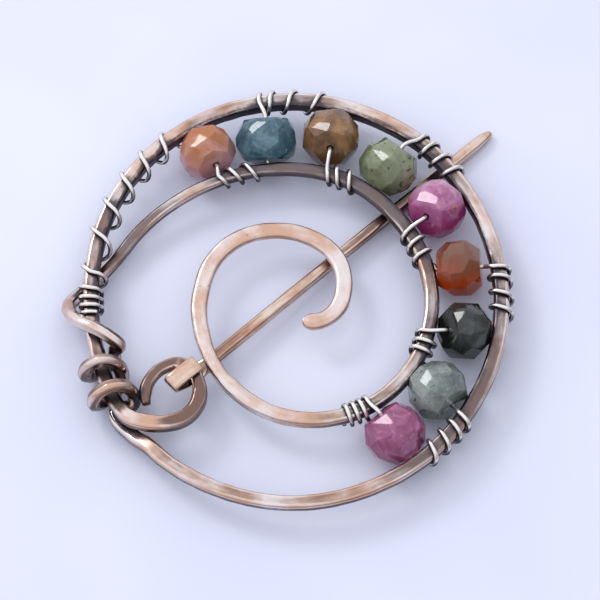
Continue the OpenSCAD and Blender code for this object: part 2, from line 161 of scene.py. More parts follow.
def flat_dir(angle):
    return np.array([math.cos(math.radians(angle)), math.sin(math.radians(angle)), 0.0])


def lap(angle):
    return angle + 360 if angle < OUTER[0, 0] else angle


def outer_at(angle):
    a = lap(angle)
    return RING_R * look(OUTER, 1, a) * flat_dir(a) + [0, 0, RING_Z * look(OUTER, 2, a)]


def inner_at(angle):
    return (np.array([INNER_C[0], INNER_C[1], RING_Z * look(INNER, 2, angle)])
            + INNER_R * look(INNER, 1, angle) * flat_dir(angle))


def spiral_at(angle):
    z = RING_Z + (SPIRAL_Z - RING_Z) * look(SPIRAL, 2, angle)
    return np.array([SPIRAL_C[0], SPIRAL_C[1], z]) + SPIRAL_R * look(SPIRAL, 1, angle) * flat_dir(angle)


def hook_at(angle):
    return np.array([HOOK_C[0], HOOK_C[1], HOOK_Z]) + HOOK_R * look(HOOK, 1, angle) * flat_dir(angle)


print("ring at the top", outer_at(90).round(2), "inner ring at the right", inner_at(0).round(2))

# %% [markdown]
# ## Sweeping a wire
# A wire's route is a list of stops. Each has a place, the way its top faces, and its width and
# thickness, because hammering makes a wire wider and thinner. A cubic through the stops gives
# close samples, and a closed outline is set across the route at every sample. A curve with a
# bevel would be quicker, but this mesh also keeps numbers on each point for the finishes: how far
# along the wire it lies, where on the outline, how worn, pitted, brown and dark, and its edges.


# %% Smooth samples of a route
# Millimetres between samples of the copper wire, the stick and the silver wire
FRAME_STEP, STICK_STEP, SILVER_STEP = 0.27, 0.2, 0.17
up = np.array([0.0, 0.0, 1.0])


def stop(place, top, width, height, worn=0.3, dark=0.0, pits=0.0, brown=0.3, bevel=0.3):
    """One stop. worn is the patina left on its top, which on the swirl and the coils also paints their
    light and shade, dark is the side painted in shade (1 or -1), pits and brown say how pitted and
    how brown it is, and bevel is the cut of its corners in mm."""
    return [np.array(place, float), np.array(top, float), width, height, worn, dark, pits, brown, bevel]


def headings(places):
    steps = np.diff(places, axis=0)
    lengths = np.linalg.norm(steps, axis=1)[:, None]
    first, last = steps[:1] / lengths[:1], steps[-1:] / lengths[-1:]
    d0, d1, s0, s1 = lengths[:-1], lengths[1:], steps[:-1], steps[1:]
    middle = (s0 / d0 * d1 + s1 / d1 * d0) / (d0 + d1)
    return np.vstack([first, middle, last]), lengths[:, 0]


def smooth_route(stops, spacing):
    places = np.array([s[0] for s in stops])
    heads, lengths = headings(places)
    rows = []
    for i, d in enumerate(lengths):
        count = max(1, round(d / spacing))
        for k in range(count + (i == len(lengths) - 1)):
            s = k / count
            place = ((2 * s**3 - 3 * s**2 + 1) * places[i] + (s**3 - 2 * s**2 + s) * d * heads[i]
                     + (3 * s**2 - 2 * s**3) * places[i + 1] + (s**3 - s**2) * d * heads[i + 1])
            mixed = [stops[i][c] * (1 - s) + stops[i + 1][c] * s for c in range(1, 9)]
            rows.append([place + SHIFT, *mixed])
    return rows


def unit(v):
    return v / np.linalg.norm(v)


trial = smooth_route([stop((x, 0, 0), up, 1, 1) for x in (0, 10)], FRAME_STEP)
print("samples on ten millimetres of the copper wire:", len(trial))

# %% Outline of a hammered wire
# Shares of the eight corners in each outline point: the flats keep points near their ends, so
# that they shade flat, and the corners between flats and bevels come out a little round
FLAT_AT, BEVEL_AT = (0.1, 0.17, 0.83, 0.9), (0.3, 0.5, 0.7)
corner_shares = []
for corner in range(8):
    for t in (BEVEL_AT if corner % 2 == 0 else FLAT_AT):
        row = [0.0] * 8
        row[corner], row[(corner + 1) % 8] = 1 - t, t
        corner_shares.append(row)
corner_shares = np.array(corner_shares)
# Edges are rubbed brightest: 1 on the bevels, falling to 0 on the flats
edge_shares = np.array(([1.0, 1.0, 1.0] + [0.4, 0.0, 0.0, 0.4]) * 4)


def squared(w, h, bevel):
    """Outline of a wire hammered flat on four sides, in millimetres."""
    bevel = min(bevel, 0.29 * min(w, h))
    x, y, fx, fy = w / 2, h / 2, w / 2 - bevel, h / 2 - bevel
    corners = [[x, fy], [fx, y], [-fx, y], [-x, fy], [-x, -fy], [-fx, -y], [fx, -y], [x, -fy]]
    return corner_shares @ np.array(corners)


circle_points = np.array([[math.cos(a), math.sin(a)] for a in np.linspace(0, 2 * math.pi, 15)[:-1]])


def drawn(w, h, _):
    """Outline of a round drawn wire."""
    return circle_points * [w / 2, h / 2]


print("points across a hammered wire:", len(corner_shares))


# %% Sweep
def sweep(name, samples, outline, wave=0.0, seed=0.0, carried=False):
    """A closed mesh along the samples; wave is the depth of the hammer's dents in millimetres."""
    places = np.array([s[0] for s in samples])
    tangents = np.gradient(places, axis=0)
    tangents /= np.linalg.norm(tangents, axis=1)[:, None]
    along = np.concatenate([[0], np.cumsum(np.linalg.norm(np.diff(places, axis=0), axis=1))])
    n, top = len(outline(1, 1, 0.1)), samples[0][1]
    verts = np.zeros((len(samples), n, 3))
    shade = np.zeros((len(samples), n))
    for i, (place, wanted, w, h, _, dark, _, _, bevel) in enumerate(samples):
        top = top if carried else wanted
        side = unit(np.cross(tangents[i], top))
        top = np.cross(side, tangents[i])
        if wave:
            w += 2 * wave * noise.noise(Vector((along[i] * 0.42, seed, 0)))
            h += 2 * wave * noise.noise(Vector((along[i] * 0.55, seed + 9, 3)))
        points = outline(w, h, bevel)
        # Painted shade on the side of the wire that dark points to
        shade[i] = np.clip(points[:, 0] * dark / (w / 2), 0, 1)
        verts[i] = place + np.outer(points[:, 0], side) + np.outer(points[:, 1], top)
    quads = []
    for i in range(len(samples) - 1):
        a = i * n
        quads += [(a + k, a + (k + 1) % n, a + n + (k + 1) % n, a + n + k) for k in range(n)]
    quads += [tuple(range(n - 1, -1, -1)), tuple(range((len(samples) - 1) * n, len(samples) * n))]
    mesh = bpy.data.meshes.new(name)
    mesh.from_pydata((verts.reshape(-1, 3) * MM).tolist(), [], quads)
    mesh.shade_smooth()
    kept = {"along": np.repeat(along, n), "around": np.tile(np.arange(n) / n, len(samples)),
            "worn": np.repeat([s[4] for s in samples], n), "side": shade.ravel(),
            "pits": np.repeat([s[6] for s in samples], n), "brown": np.repeat([s[7] for s in samples], n),
            "edge": np.tile(edge_shares if n == len(edge_shares) else np.zeros(n), len(samples))}
    for key, values in kept.items():
        mesh.attributes.new(key, "FLOAT", "POINT").data.foreach_set("value", values)
    made = put(name, mesh)
    print(name, "length", round(float(along[-1]), 1), "mm,", len(mesh.polygons), "faces")
    return made

# %% [markdown]
# ## The copper frame
# One sweep makes all of it, as one wire makes the real one. It runs from the spiral's tip by the
# inner ring and the swirl through two coils, comes out below as the outer ring, returns through
# the coils as their core, and ends as the hinge ring, which thins to its tip. Separate rings would
# be simpler to make, but they would leave seams where the real wire has none.

# %% Route of the spiral and the inner ring
TIP_TURN = 8
# The most that the wire gives way to the strap, and how near to the hinge it does so
STRAP_ROOM, STRAP_NEAR, STRAP_FADE = 0.26, 3.0, 2.2
hinge = np.array(frame["joints"][0]["pos_m"]) / MM - SHIFT
# Patina left after rubbing, read round the rings by angle
inner_worn = ([-135, -102, -88, -60, -46, -18, -4, 10, 45, 60, 120, 136, 150, 165],
              [0.1, 0.15, 0.45, 0.56, 0.56, 0.7, 0.56, 0.6, 1.0, 1.1, 1.0, 0.5, 0.7, 0.95])
# The inner ring's side facing the stones is painted in shade
inner_dark = ([-85, -60, 165], [0, 0.95, 0.95])


def fading(distance, near, fade):
    """1 as far as near, and then less and less until it is 0."""
    return np.clip(1 - (distance - near) / fade, 0, 1)


def past_strap(place):
    """Share of its width that the wire keeps: it is narrower beside the strap, which swings past."""
    return 1 - STRAP_ROOM * fading(np.linalg.norm((place - hinge)[:2]), STRAP_NEAR, STRAP_FADE)


def spiral_stop(angle, share):
    place, flat = spiral_at(angle), look(SPIRAL, 2, angle)
    width = share * past_strap(place) * (WIRE_W + (SPIRAL_W - WIRE_W) * flat)
    return stop(place, up, width, WIRE_H + (SPIRAL_H - WIRE_H) * flat, worn=0.06,
                pits=np.interp(angle, [90, 140], [0.15, 1]), brown=0.1)


def inner_stop(angle):
    place = inner_at(angle)
    return stop(place, up, past_strap(place) * WIRE_W * look(INNER, 3, angle),
                WIRE_H * look(INNER, 4, angle), worn=np.interp(angle, *inner_worn),
                dark=np.interp(angle, *inner_dark), pits=0.3)


tip_from, spiral_end = SPIRAL[0, 0], SPIRAL[-1, 0]
tip_stops = [spiral_stop(tip_from + s * TIP_TURN, math.sqrt(s * (2 - s)))
             for s in (0.04, 0.12, 0.25, 0.45, 0.7)]
spiral_stops = [spiral_stop(a, 1) for a in np.linspace(tip_from + TIP_TURN, spiral_end, 31)]
inner_stops = [inner_stop(a) for a in np.arange(INNER[0, 0], INNER[-1, 0] + 1, 6)]
print("stops on the spiral and the inner ring:", len(tip_stops + spiral_stops + inner_stops))

# %% Route of the swirl and the coils
# The coils look a little stouter than their solids, since a polished round shows its full width
COIL_STOUT = 1.12
COIL_W, COIL_H = COIL_STOUT * COIL_THIN * WIRE_W, COIL_STOUT * COIL_THIN * WIRE_H
# Angle on the outer ring where the coils start, degrees from turn to turn, and lean of their tops
COIL_FROM, COIL_STEP, COIL_LEAN = 199.3, 7.9, 1.3
shares = np.array([RING_R, RING_R, RING_Z])
# Patina along the swirl, with painted shade at both ends, where it goes under the ring, and a painted
# highlight along its bare middle
swirl_worn = [0.9, 0.8, 0.5, 0.1, 0.0, 0.0, 0.1, 0.35, 0.7, 0.9]
swirl_stops = [stop(np.array(p) * shares, up, COIL_W, COIL_H, worn=v, brown=0.9, bevel=0.5)
               for p, v in zip(SWIRL, swirl_worn)]


def coil_stop(t):
    """A stop of the coils after t turns."""
    phase = math.radians(-360 * t)
    high = max(math.sin(phase), 0)
    a = COIL_FROM + COIL_STEP * t - COIL_LEAN * high
    side = COIL_SIDE + COIL_GROW * min(max(2 * t - 2, 0), 1)
    out = math.cos(phase) * -flat_dir(a) * side + math.sin(phase) * COIL_RISE * up
    # Tops of the turns keep less patina than their lower parts: painted highlight on top, painted shade below
    return stop(outer_at(a) + out, up, COIL_W, COIL_H, worn=0.95 - 0.42 * high, brown=0.9, bevel=0.55)


coil_stops = [coil_stop(k / 12) for k in range(26)]
print("stops on the swirl and the coils:", len(swirl_stops + coil_stops))

# %% Route of the outer ring and the hinge ring
# Patina left after rubbing round the outer ring, by angle; the bare copper at 492 and 500 degrees is a
# painted highlight
outer_worn = ([225, 236, 290, 302, 324, 336, 348, 360, 372, 384, 398, 410, 420,
               432, 446, 456, 468, 480, 492, 500, 512, 528, 538, 552, 564, 576],
              [0.45, 0.5, 0.5, 0.75, 0.95, 0.75, 0.66, 0.6, 0.62, 0.36, 0.6, 0.6, 0.42,
               0.35, 0.7, 0.6, 0.4, 0.54, 0.0, 0.05, 0.6, 0.6, 0.7, 0.44, 0.8, 0.95])
# The outer ring's side facing the stones is painted in shade, and a little of its start
outer_dark = ([225, 250, 305, 330, 576], [-0.3, 0, 0, -1, -1])
hook_worn = ([-128, -112, -95, -40, 10, 60, 100, 140, 180, 215],
             [0.05, 0.25, 0.8, 1.0, 1.05, 0.8, 0.85, 0.95, 1.05, 1.1])
# Degrees on each side of the strap where the hinge ring is round, and its share of the bearing
ROUND_HALF, ROUND_SHARE = 35, 0.97
# Shares of the wire's width on both sides of the strap, and the angle where the end gets thinner
HOOK_NEAR, HOOK_SLIM, HOOK_END_FROM = 0.92, 0.8, 190


def hook_stop(row):
    a = row[0]
    worn = np.interp(a, *hook_worn)
    if abs(a - PIN_DIR) < ROUND_HALF:
        return stop(hook_at(a), up, ROUND_SHARE * BEARING_D, ROUND_SHARE * BEARING_D, worn, brown=1.0)
    if a < 0:
        share = 1.0
    elif a < 80:
        share = HOOK_NEAR
    elif a < HOOK_END_FROM:
        share = HOOK_SLIM
    else:
        end = (a - HOOK_END_FROM) / (HOOK[-1, 0] - HOOK_END_FROM)
        share = HOOK_SLIM + (HOOK_TIP_W / WIRE_W - HOOK_SLIM) * end
    return stop(hook_at(a), up, WIRE_W * share, WIRE_H * share, worn, brown=1.0)


def polar_point(a, out, high):
    return out * RING_R * flat_dir(a) + up * high * RING_Z


start_stops = []
for k, row in enumerate(START):
    size = COIL_THIN + (1 - COIL_THIN) * (k + 1) / len(START)
    start_stops.append(stop(polar_point(*row), up, size * WIRE_W, size * WIRE_H, worn=0.4, brown=0.8))
ring_stops = [stop(outer_at(a), up, WIRE_W * look(OUTER, 3, a), WIRE_H * look(OUTER, 4, a),
                   worn=np.interp(a, *outer_worn), dark=np.interp(a, *outer_dark), pits=0.2, brown=0.5)
              for a in np.arange(OUTER[0, 0] + 3, OUTER[-1, 0] + 1, 6)]
lead_stops = [stop(polar_point(*row), up, WIRE_W, WIRE_H, worn=0.0, brown=1.0) for row in LEAD]
hook_stops = [hook_stop(row) for row in HOOK]
print("stops on the outward run:", len(start_stops + ring_stops + lead_stops + hook_stops))


# %% Sweep the whole wire
def settle_tops(rows, first, last):
    """Carry the top from one row to another without a twist, and share out what is left over."""
    heads = np.gradient(np.array([r[0] for r in rows]), axis=0)
    heads /= np.linalg.norm(heads, axis=1)[:, None]
    tops = [unit(rows[first][1] - (rows[first][1] @ heads[first]) * heads[first])]
    for head in heads[first + 1:last + 1]:
        tops.append(unit(tops[-1] - (tops[-1] @ head) * head))
    wanted = rows[last][1]
    left_over = math.atan2(wanted @ np.cross(heads[last], tops[-1]), wanted @ tops[-1])
    for k, top in enumerate(tops):
        a = left_over * k / (last - first)
        rows[first + k][1] = top * math.cos(a) + np.cross(heads[first + k], top) * math.sin(a)
    return math.degrees(left_over)


def row_of(rows, a_stop):
    """Number of the sample at a stop."""
    return int(np.argmin([np.linalg.norm(r[0] - a_stop[0] - SHIFT) for r in rows]))


wire_stops = (tip_stops + spiral_stops + inner_stops + swirl_stops + coil_stops + start_stops + ring_stops
              + lead_stops + hook_stops)
wire_route = smooth_route(wire_stops, FRAME_STEP)
twist = settle_tops(wire_route, row_of(wire_route, swirl_stops[0]), row_of(wire_route, start_stops[-1]))
print("twist shared out over the coils:", round(twist), "degrees")
copper_frame = sweep("copper_frame", wire_route, squared, wave=0.065, seed=1.0)

# %% [markdown]
# ## The pin stick
# The stick is one piece of wire too. Its end is flattened to a strap, bent down at the tip of
# the strap, laid over the hinge ring, folded tightly behind it and brought back underneath, so
# one sweep along that path makes strap, fold and shaft. The strap is a little narrower than its
# solid, so that it swings clear of the copper beside it, and its end is a tenth of a millimetre
# longer, because the real one reaches further over the ring.

# %% Path of the strap
PIN_DROOP, PIN_LEN, PIN_D, TAPER_LEN = 2.25, 56.2, 1.6, 3
STRAP_W, STRAP_H, STRAP_GAP = 2.42, 0.5, 0.33
FOLD_C, FOLD_R, LIP_LEN, LIP_ANGLE, SKEW = np.array([-2.9, 0.75]), 0.85, 0.7, 76, -1.5
strap_in = BEARING_D / 2 + STRAP_GAP
strap_mid = strap_in + STRAP_H / 2
fold_mid = FOLD_R - STRAP_H / 2
fold_at = math.degrees(math.atan2(FOLD_C[1], FOLD_C[0]))
opening = math.degrees(math.acos((strap_mid - fold_mid) / np.linalg.norm(FOLD_C)))


def strap_path():
    """Points and outward directions in the side view, from the free end to under the ring."""
    def arc(centre, radius, a0, a1, count):
        for a in np.linspace(a0, a1, count):
            out = flat_dir(a)[:2]
            yield np.array(centre) + radius * out, out
    lip_dir = flat_dir(LIP_ANGLE - 90)[:2]
    lip_top = flat_dir(LIP_ANGLE)[:2]
    path = [(strap_mid * lip_top + lip_dir * LIP_LEN * s, lip_top) for s in (1, 0.85, 0.5)]
    path += arc((0, 0), strap_mid, LIP_ANGLE, fold_at - opening, 5)
    path += arc(FOLD_C, fold_mid, fold_at - opening, fold_at + opening, 13)
    path += arc((0, 0), strap_mid, fold_at + opening, 270, 5)
    return path


ahead = flat_dir(PIN_DIR)


def in_frame(x, z, skew=0.0):
    """A point of the stick's side view, drooped, in the frame of the whole pin."""
    droop = math.radians(PIN_DROOP)
    forward = flat_dir(PIN_DIR + skew)
    drooped = (x * math.cos(droop) + z * math.sin(droop), -x * math.sin(droop) + z * math.cos(droop))
    return hinge + forward * drooped[0] + up * drooped[1]


pin_stops = []
for k, (point, out) in enumerate(strap_path()):
    thin = [0.92, 0.99][k] if k < 2 else 1.0
    pin_stops.append(stop(in_frame(*point, SKEW), ahead * out[0] + up * out[1],
                          STRAP_W * thin, STRAP_H * (0.85 if k == 0 else 1), worn=0.08))
print("stops round the hinge ring:", len(pin_stops))

# %% Shaft
# Distance from the hinge, width and thickness
taper_from = PIN_LEN - TAPER_LEN
shaft = [(1.0, STRAP_W, STRAP_H), (1.9, 0.93 * STRAP_W, 1.5 * STRAP_H), (2.8, 1.95, 1.2), (3.7, 1.7, 1.5),
         (4.8, PIN_D, PIN_D), (12, PIN_D, PIN_D), (24, PIN_D, PIN_D), (36, PIN_D, PIN_D),
         (taper_from, PIN_D, PIN_D), (taper_from + 1.5, 1.42, 1.4), (PIN_LEN - 0.7, 1.16, 1.12),
         (PIN_LEN - 0.3, 0.95, 0.9), (PIN_LEN - 0.08, 0.68, 0.62), (PIN_LEN - 0.01, 0.35, 0.3)]
shaft_worn = ([3, 12, 30, 36, 46, 50], [0.7, 0.4, 0.4, 0.84, 0.8, 0.25])
pin_stops += [stop(in_frame(x, -strap_mid), -up, w, h, worn=np.interp(x, *shaft_worn), brown=0.8)
              for x, w, h in shaft]
pin_stick = sweep("pin", smooth_route(pin_stops, STICK_STEP), squared, wave=0.03, seed=40.0)

# %% [markdown]
# ## The silver wire
# It is wound on in one go: round a ring a few times, through a stone, round the other ring, and
# so on. Each turn is a helix over the hammered wire, a little tighter than on the solid. The path
# carries its own up direction along, so that the round outline never twists.

# %% Wraps and bores
SILVER_D, WRAP_GAP, LOOSE_REACH, LOOSE_FROM, SQUARISH, BORE_LEAD = 0.6, 0.1, 0.5, 4, 0.82, 0.3
# Ring, angle of each turn, and the twelfths of a turn where the wire comes and goes
WRAPS = [
    ("outer", [187, 184.7, 182.2, 179.5, 174.5, 162.5, 153.3, 144.5, 136.5, 129], -1, 7),
    ("inner", [127, 121.8, 115.7], 0, 7),
    ("outer", [100, 97, 91.7, 84.4], 0, 7),
    ("inner", [84.7, 80.4, 74.5], 0, 7),
    ("outer", [53.5, 50.2, 45.5, 40.6], 0, 7),
    ("inner", [35.5, 28.7, 21], 0, 8),
    ("outer", [7.3, 4.4, -0.8, -5.5], -1, 7),
    ("inner", [-22.3, -27.3, -31.8], 0, 8),
    ("outer", [-40.2, -43.6, -47.8, -52.2], -1, 7),
    ("inner", [-67, -70.2, -73.4, -76.6], 0, 7)]
# Angle and radius share round the ring, bore's direction and rise, diameter, length, turn
BEADS = {
    "bead_peach": (119.5, 0.908, -63, 20, 8.0, 5.9, 10),
    "bead_teal": (99.8, 0.874, 93, 24, 8.65, 5.8, 22),
    "bead_amber": (78.8, 0.896, -92, 31, 8.6, 6.0, 5),
    "bead_sage": (56.8, 0.846, 50, 27, 8.5, 6.3, 12),
    "bead_pink": (33.9, 0.843, 234, 32, 8.2, 6.2, 20),
    "bead_rust": (9.7, 0.815, 0, 9, 8.2, 5.8, 8),
    "bead_forest": (-13.8, 0.842, 193, 28, 8.3, 5.5, 14),
    "bead_misty": (-37.3, 0.853, -51, 11, 8.2, 6.1, 2),
    "bead_plum": (-57.6, 0.878, 131, 27, 8.2, 6.5, 18)}
print("wraps:", sum(len(angles) for _, angles, _, _ in WRAPS), "bores:", len(BEADS))


# %% Path of the silver wire
def wrap_point(ring, angles, t, loose):
    i = max(0, min(len(angles) - 2, math.floor(t)))
    a = angles[i] + (angles[i + 1] - angles[i]) * (t - i)
    outer = ring == "outer"
    table, at = (OUTER, lap(a)) if outer else (INNER, a)
    # A squarish turn rather than a round one, so that the wrap hugs the hammered wire
    turn = 2 * math.pi * t
    inwards, rise = [math.copysign(abs(c) ** SQUARISH, c) for c in (-math.sin(turn), math.cos(turn))]
    reach = [SILVER_D / 2 + WRAP_GAP + size / 2 * look(table, c, at)
             for size, c in ((WIRE_W, 3), (WIRE_H, 4))]
    slack = LOOSE_REACH * max(0, inwards) if loose and t > LOOSE_FROM - 0.75 else 0
    centre, side = (outer_at(a), -flat_dir(a)) if outer else (inner_at(a), flat_dir(a))
    return centre + side * (inwards * reach[0] + slack) + up * rise * reach[1]


def bead_centre(row):
    return RING_R * row[1] * flat_dir(row[0]) + [0, 0, RING_Z]


def bore_dir(row):
    rise = math.radians(row[3])
    return flat_dir(row[2]) * math.cos(rise) + up * math.sin(rise)


silver_places = []
for g, (ring, angles, enter, leave) in enumerate(WRAPS):
    if g:
        row = list(BEADS.values())[g - 1]
        half = row[5] / 2 + BORE_LEAD
        silver_places += [bead_centre(row) + s * half * bore_dir(row) for s in (-1, -0.8, 0.8, 1)]
    silver_places += [wrap_point(ring, angles, k / 12, g == 0)
                      for k in range(enter, 12 * (len(angles) - 1) + leave + 1)]
silver_stops = [stop(p, up, SILVER_D, SILVER_D) for p in silver_places]
silver_route = smooth_route(silver_stops, SILVER_STEP)
silver_strand = sweep("silver_strand", silver_route, drawn, carried=True)

# %% [markdown]
# ## The stones
# A faceted stone is a lump with flat cuts. Cutting is the way to make it here too: every facet
# is a plane, each three planes meet in a point, and the points that no other plane cuts away
# are the stone's corners. Small changes in each plane's tilt and depth make every stone its own.
# The edges are then softened a little, as on real stones that have rubbed on each other.


# %% Cuts of the stones
# Tilt in degrees, how many facets, turn in facet steps, and a point of the side view they pass
FINE_CUT = [(0, 12, 0.25, (0.94, 0.0)), (33, 8, 0.0, (0.92, 0.36)), (-33, 8, 0.5, (0.92, -0.36)),
            (62, 6, 0.5, (0.74, 0.94)), (-62, 6, 0.0, (0.74, -0.94))]
BOLD_CUT = [(0, 10, 0.25, (0.9, 0.0)), (35, 7, 0.0, (0.9, 0.36)), (-35, 7, 0.5, (0.9, -0.36)),
            (63, 5, 0.5, (0.74, 0.94)), (-63, 5, 0.0, (0.74, -0.94))]
BARREL_CUT = [(0, 7, 0.0, (0.88, 0.0)), (28, 7, 0.5, (0.895, 0.5)), (-28, 7, 0.5, (0.895, -0.5)),
              (56, 7, 0.0, (0.70, 0.95)), (-56, 7, 0.0, (0.70, -0.95))]
# Each stone's cut, how wide a facet it has where it catches the light, and how worn its edges are
CUTS = {"stone_peach": (FINE_CUT, 0.9, 0.4), "stone_teal": (BARREL_CUT, 0.6, 0.2),
        "stone_amber": (BOLD_CUT, 1.0, 0.18), "stone_sage": (BOLD_CUT, 0.7, 0.4),
        "stone_pink": (FINE_CUT, 0.5, 0.4), "stone_rust": (BOLD_CUT, 0.0, 0.2),
        "stone_forest": (BOLD_CUT, 0.8, 0.18), "stone_misty": (FINE_CUT, 0.7, 0.4),
        "stone_plum": (FINE_CUT, 0.4, 0.4)}
# The way that such a facet faces: up, and a little to the side that the light comes from
GLINT = np.array([-0.318, 0.037, 0.947])
# How deep the widest of such facets goes, and the size below which two corners become one
GLINT_DEPTH, CORNER_SIZE = 0.12, 0.12
print("facets of a fine stone:", 2 + sum(row[1] for row in FINE_CUT))


# %% Cut a stone from planes
def facet_planes(diameter, length, cut, rng):
    """Planes as (normal, distance): flat ends, a belt, and large and small facets above and below."""
    radius, half = diameter / 2, length / 2
    planes = [(np.array([0, 0, s]), half) for s in (1.0, -1.0)]
    for tilt, count, step, (out, high) in cut:
        for k in range(count):
            a = 2 * math.pi * (k + step + rng.uniform(-0.1, 0.1)) / count
            b = math.radians(tilt + rng.uniform(-3.5, 3.5))
            normal = np.array([math.cos(b) * math.cos(a), math.cos(b) * math.sin(a), math.sin(b)])
            reach = out * radius * math.cos(b) + high * half * math.sin(b)
            planes.append((normal, reach * rng.uniform(0.975, 1.0)))
    return planes


# %% Where the planes meet
def corners_of(planes):
    """The points where three planes meet and that no other plane cuts away."""
    normals = np.array([p[0] for p in planes])
    depths = np.array([p[1] for p in planes])
    found = []
    for i in range(len(planes)):
        for j in range(i + 1, len(planes)):
            line = np.cross(normals[i], normals[j])
            for k in range(j + 1, len(planes)):
                volume = line @ normals[k]
                if abs(volume) < 1e-3:
                    continue
                point = (depths[i] * np.cross(normals[j], normals[k])
                         + depths[j] * np.cross(normals[k], normals[i]) + depths[k] * line) / volume
                if np.all(normals @ point <= depths + 1e-7):
                    found.append(point)
    return found


cube = [(sign * axis, 1.0) for axis in np.eye(3) for sign in (1, -1)]
print("corners of a cube's six planes:", len(corners_of(cube)))


# %% Cut one stone
def cut_stone(name, row, seed):
    """The stone as an object, and the middle of its bore."""
    rng = np.random.default_rng(seed)
    turn = math.radians(row[6])
    z_axis = bore_dir(row)
    x_axis = unit(np.cross(np.cross(z_axis, up), z_axis) * -1)
    y_axis = np.cross(z_axis, x_axis)
    x_axis, y_axis = (x_axis * math.cos(turn) + y_axis * math.sin(turn),
                      y_axis * math.cos(turn) - x_axis * math.sin(turn))
    centre = bead_centre(row) + SHIFT
    bm = bmesh.new()
    cut, glint, wear = CUTS[name]
    planes = facet_planes(row[4], row[5], cut, rng)
    faces_light = unit(GLINT + rng.uniform(-0.02, 0.02, 3))
    faces_light = np.array([faces_light @ axis for axis in (x_axis, y_axis, z_axis)])
    outermost = min(d / (n @ faces_light) for n, d in planes if n @ faces_light > 0.2)
    if glint:
        planes.append((faces_light, outermost - GLINT_DEPTH * glint))
    for c in corners_of(planes):
        bm.verts.new((centre + c[0] * x_axis + c[1] * y_axis + c[2] * z_axis) * MM)
    bmesh.ops.remove_doubles(bm, verts=bm.verts, dist=CORNER_SIZE * MM)
    bmesh.ops.convex_hull(bm, input=bm.verts)
    bmesh.ops.delete(bm, geom=[v for v in bm.verts if not v.link_faces], context="VERTS")
    bmesh.ops.dissolve_limit(bm, angle_limit=math.radians(2.5), verts=bm.verts, edges=bm.edges)
    bmesh.ops.bevel(bm, geom=bm.edges[:], offset=wear * MM, segments=3, profile=0.5, affect="EDGES",
                    clamp_overlap=True)
    bmesh.ops.recalc_face_normals(bm, faces=bm.faces)
    mesh = bpy.data.meshes.new(name)
    bm.to_mesh(mesh)
    bm.free()
    return put(name, mesh), centre


# %% Drill the stones
BORE_D, SHARP_FROM = 0.95, 28


def drill(stone, centre, row):
    bm = bmesh.new()
    bmesh.ops.create_cone(bm, cap_ends=True, segments=24, radius1=BORE_D / 2 * MM,
                          radius2=BORE_D / 2 * MM, depth=2 * row[5] * MM)
    mesh = bpy.data.meshes.new("drill")
    bm.to_mesh(mesh)
    bm.free()
    bit = put("drill", mesh)
    bit.location = [c * MM for c in centre]
    bit.rotation_euler = Vector(bore_dir(row)).to_track_quat("Z", "Y").to_euler()
    cut = stone.modifiers.new("bore", "BOOLEAN")
    cut.object = bit
    cut.operation = "DIFFERENCE"
    cut.solver = "EXACT"
    bpy.context.view_layer.update()
    done = bpy.data.meshes.new_from_object(stone.evaluated_get(bpy.context.evaluated_depsgraph_get()))
    stone.modifiers.clear()
    done.shade_smooth()
    done.set_sharp_from_angle(angle=math.radians(SHARP_FROM))
    stone.data = done
    bpy.data.objects.remove(bit)


stones, stone_centres = {}, {}
for seed, (name, row) in enumerate(BEADS.items()):
    stone, centre = cut_stone(name.replace("bead", "stone"), row, seed + 3)
    drill(stone, centre, row)
    stones[name] = stone
    stone_centres[name] = tuple(float(c) * MM for c in centre)
    print(stone.name, "faces", len(stone.data.polygons))

# %% [markdown]
# ## Writing shader maths
# A finish is a small graph of nodes. Wrapping a socket in a class lets the graph be written as
# plain sums: adding or multiplying two wrapped sockets adds a Math node behind the scenes.


# %% A wrapped socket
class Sock:
    def __init__(self, tree, socket):
        self.tree, self.socket = tree, socket

    def node(self, kind, settings=None, values=None, out=0):
        """Any node: its type, its settings, and the values or links of its sockets."""
        made = self.tree.nodes.new(kind)
        for key, value in (settings or {}).items():
            if key == "stops":
                while len(made.color_ramp.elements) < len(value):
                    made.color_ramp.elements.new(0.5)
                for element, (place, colour) in zip(made.color_ramp.elements, value):
                    element.position, element.color = place, colour
            else:
                setattr(made, key, value)
        for key, value in (values or {}).items():
            if isinstance(value, Sock):
                self.tree.links.new(value.socket, made.inputs[key])
            else:
                made.inputs[key].default_value = value
        return Sock(self.tree, made.outputs[out])

    def maths(self, operation, *values):
        return self.node("ShaderNodeMath", {"operation": operation}, dict(enumerate(values)))

    def __add__(self, other):
        return self.maths("ADD", self, other)

    def __sub__(self, other):
        return self.maths("SUBTRACT", self, other)

    def __mul__(self, other):
        return self.maths("MULTIPLY", self, other)

    def __rsub__(self, other):
        return self.maths("SUBTRACT", other, self)

    __radd__, __rmul__ = __add__, __mul__

    def above(self, low, high):
        """0 below low, 1 above high, and a soft step between them."""
        return self.node("ShaderNodeMapRange", {"interpolation_type": "SMOOTHSTEP"},
                         {"Value": self, "From Min": low, "From Max": high})

    def mix(self, first, second):
        """This factor mixes two colours."""
        return self.node("ShaderNodeMix", {"data_type": "RGBA"}, {0: self, 6: first, 7: second}, out=2)

    def cloudy(self, scale, detail, roughness=0.5, distortion=0.0):
        """Noise read at this place."""
        return self.node("ShaderNodeTexNoise", {}, {"Vector": self, "Scale": scale, "Detail": detail,
                                                    "Roughness": roughness, "Distortion": distortion})

    def kept(self, attribute):
        """A number that the mesh keeps on each point."""
        return self.node("ShaderNodeAttribute", {"attribute_name": attribute}, out=2)

    def facing_up(self):
        """1 where the surface looks up, -1 where it looks down."""
        normal = self.node("ShaderNodeNewGeometry", out="Normal")
        return self.node("ShaderNodeSeparateXYZ", {}, {0: normal}, out="Z")


